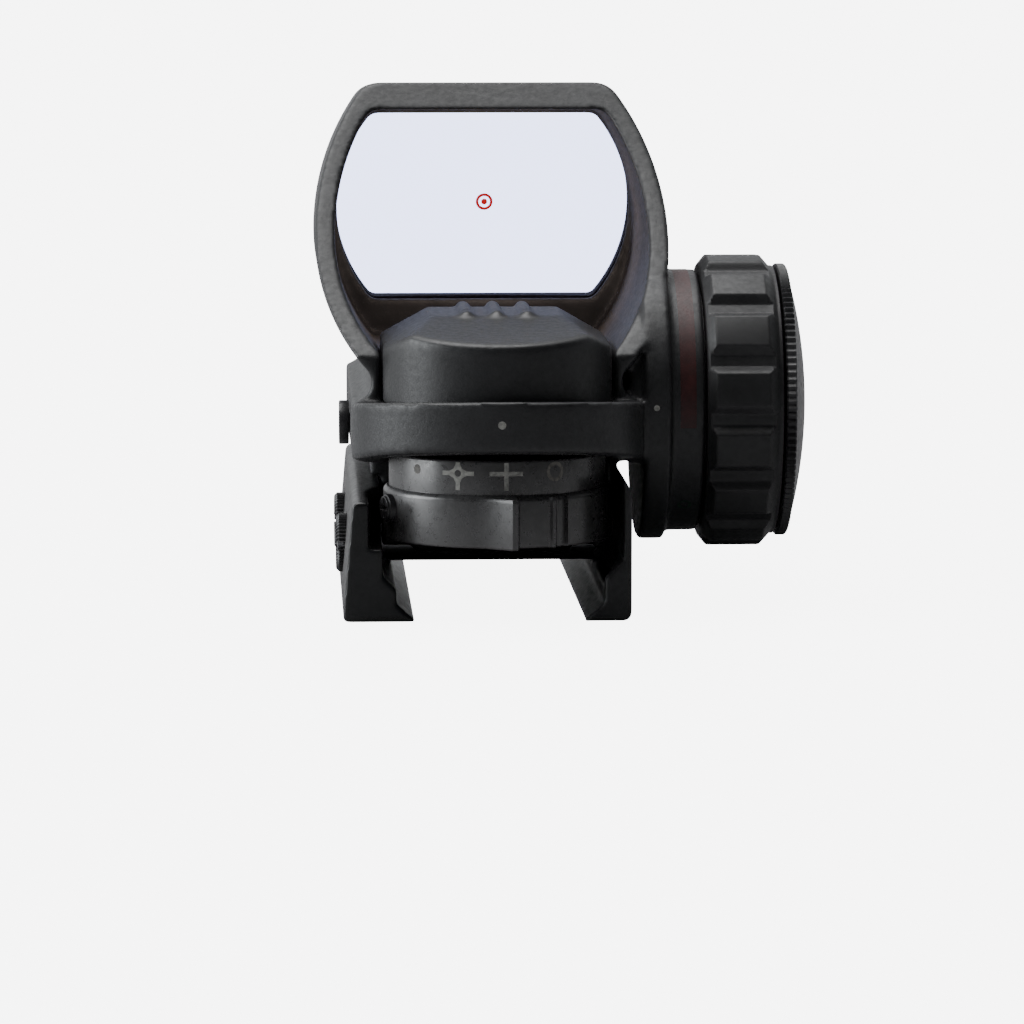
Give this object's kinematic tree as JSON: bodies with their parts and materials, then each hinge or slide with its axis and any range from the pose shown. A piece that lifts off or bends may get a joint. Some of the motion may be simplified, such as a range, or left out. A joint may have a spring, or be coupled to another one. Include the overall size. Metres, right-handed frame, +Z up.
{
  "type": "open reflex sight",
  "caption": "Open reflex sight with a hooded glass window, reticle selector wheel, side brightness dial with a coin cell, and a clamp for a slotted rail.",
  "frame": {"origin": "on the flat seat that rests on the rail's top, in the centre plane, midway along the clamp jaws", "axes": "+Y forward along the line of sight, +X to the user's right, +Z up from the rail"},
  "size_m": [0.0532, 0.0674, 0.0552],
  "materials": {
    "body_black": "black anodised die casting with a fine bead-blasted texture",
    "cover_black": "black anodised, fine satin",
    "wheel_black": "black anodised, satin, turned",
    "clamp_black": "black anodised, matt",
    "dial_black": "black anodised, satin, milled grip",
    "cap_black": "black anodised, satin, knurled edge",
    "screw_black": "blackened steel",
    "screw_steel": "turned, plain",
    "spring_steel": "drawn wire",
    "inner_aluminium": "milled, bare",
    "drum_black": "moulded, matt black",
    "lens_glass": "polished, coated to reflect red",
    "port_glass": "polished",
    "retainer_black": "matt black",
    "seal_rubber": "moulded",
    "contact_brass": "stamped spring strip",
    "board_green": "solder mask over glass fibre",
    "led_clear": "clear epoxy",
    "lead_red": "wire insulation",
    "cell_steel": "nickel-plated steel",
    "mark_white": "pad-printed white paint",
    "mark_red": "pad-printed red paint",
    "mark_green": "pad-printed green paint"
  },
  "bodies": {
    "housing": {"main_housing": "body_black", "emitter_cover": "cover_black", "cover_screws": "screw_black", "emitter_window": "port_glass", "objective_lens": "lens_glass", "lens_retainer": "retainer_black", "wheel_detent_ball": "screw_steel", "wheel_detent_spring": "spring_steel", "windage_spring": "spring_steel", "lead_wires": "lead_red", "clamp_studs": "screw_steel", "switch_board": "board_green", "board_screws": "screw_steel", "dial_detent_ball": "screw_steel", "dial_detent_spring": "spring_steel", "dial_axle_screw": "screw_steel"},
    "selector": {"selector_wheel": "wheel_black", "wheel_set_screw": "screw_black", "selector_shaft": "screw_steel", "shaft_clip": "spring_steel"},
    "drum": {"reticle_drum": "drum_black"},
    "windage_adjuster": {"windage_screw": "screw_black", "windage_clip": "spring_steel"},
    "carriage": {"windage_carriage": "inner_aluminium", "guide_pins": "screw_steel", "elevation_springs": "spring_steel"},
    "emitter_block": {"elevation_block": "inner_aluminium", "led_board": "board_green", "led": "led_clear"},
    "elevation_adjuster": {"elevation_screw": "screw_black"},
    "jaw": {"clamp_jaw": "clamp_black"},
    "rear_nut": {"clamp_nut_rear": "screw_black"},
    "front_nut": {"clamp_nut_front": "screw_black"},
    "dial": {"brightness_dial": "dial_black", "dial_seal": "seal_rubber", "dial_wiper": "contact_brass", "battery_spring": "spring_steel", "battery": "cell_steel"},
    "cap_ring": {"cap_seal": "seal_rubber"},
    "cap": {"battery_cap": "cap_black"}
  },
  "joints": [
    {"name": "selector_turn", "type": "hinge", "parent": "housing", "child": "selector", "pos_m": [0, -0.022, 0.008], "axis": [0, 0, 1], "range_deg": [-26.5, 53]},
    {"name": "drum_turn", "type": "hinge", "parent": "emitter_block", "child": "drum", "pos_m": [0, -0.022, 0.018], "axis": [0, 0, 1], "range_deg": [-26.6, 53.1]},
    {"name": "windage_turn", "type": "hinge", "parent": "housing", "child": "windage_adjuster", "pos_m": [-0.0154, -0.005, 0.0138], "axis": [1, 0, 0], "range_deg": [-288.2, 288.2]},
    {"name": "windage_slide", "type": "slide", "parent": "housing", "child": "carriage", "axis": [1, 0, 0], "range_m": [-0.0004, 0.0004]},
    {"name": "elevation_turn", "type": "hinge", "parent": "emitter_block", "child": "elevation_adjuster", "pos_m": [0, 0.0005, 0.0205], "axis": [0, 0, 1], "range_deg": [-288.2, 288.2]},
    {"name": "elevation_slide", "type": "slide", "parent": "carriage", "child": "emitter_block", "axis": [0, 0, 1], "range_m": [-0.0004, 0.0004], "deforming": ["elevation_springs"]},
    {"name": "clamp_nut_rear_turn", "type": "hinge", "parent": "jaw", "child": "rear_nut", "pos_m": [-0.0155, -0.006, 0.0007], "axis": [-1, 0, 0], "range_deg": [0, 1080.5]},
    {"name": "clamp_jaw_slide", "type": "slide", "parent": "housing", "child": "jaw", "axis": [-1, 0, 0], "range_m": [0, 0.0021]},
    {"name": "clamp_nut_front_turn", "type": "hinge", "parent": "jaw", "child": "front_nut", "pos_m": [-0.0155, 0.014, 0.0007], "axis": [-1, 0, 0], "range_deg": [0, 1080.5]},
    {"name": "dial_turn", "type": "hinge", "parent": "housing", "child": "dial", "pos_m": [0.0225, -0.007, 0.0163], "axis": [1, 0, 0], "range_deg": [-150, 150]},
    {"name": "cap_lift", "type": "slide", "parent": "dial", "child": "cap_ring", "axis": [1, 0, 0], "range_m": [0, 0.002]},
    {"name": "cap_turn", "type": "hinge", "parent": "cap_ring", "child": "cap", "pos_m": [0.031, -0.007, 0.0163], "axis": [1, 0, 0], "range_deg": [0, 718]}
  ],
  "couplings": [
    {"joint": "drum_turn", "follows": "selector_turn", "ratio": 1},
    {"joint": "windage_turn", "follows": "windage_slide", "rad_per_m": 12566},
    {"joint": "elevation_turn", "follows": "elevation_slide", "rad_per_m": 12566},
    {"joint": "clamp_nut_rear_turn", "follows": "clamp_jaw_slide", "rad_per_m": 8976},
    {"joint": "clamp_nut_front_turn", "follows": "clamp_jaw_slide", "rad_per_m": 8976},
    {"joint": "cap_lift", "follows": "cap_turn", "m_per_rad": 0.00015915}
  ]
}
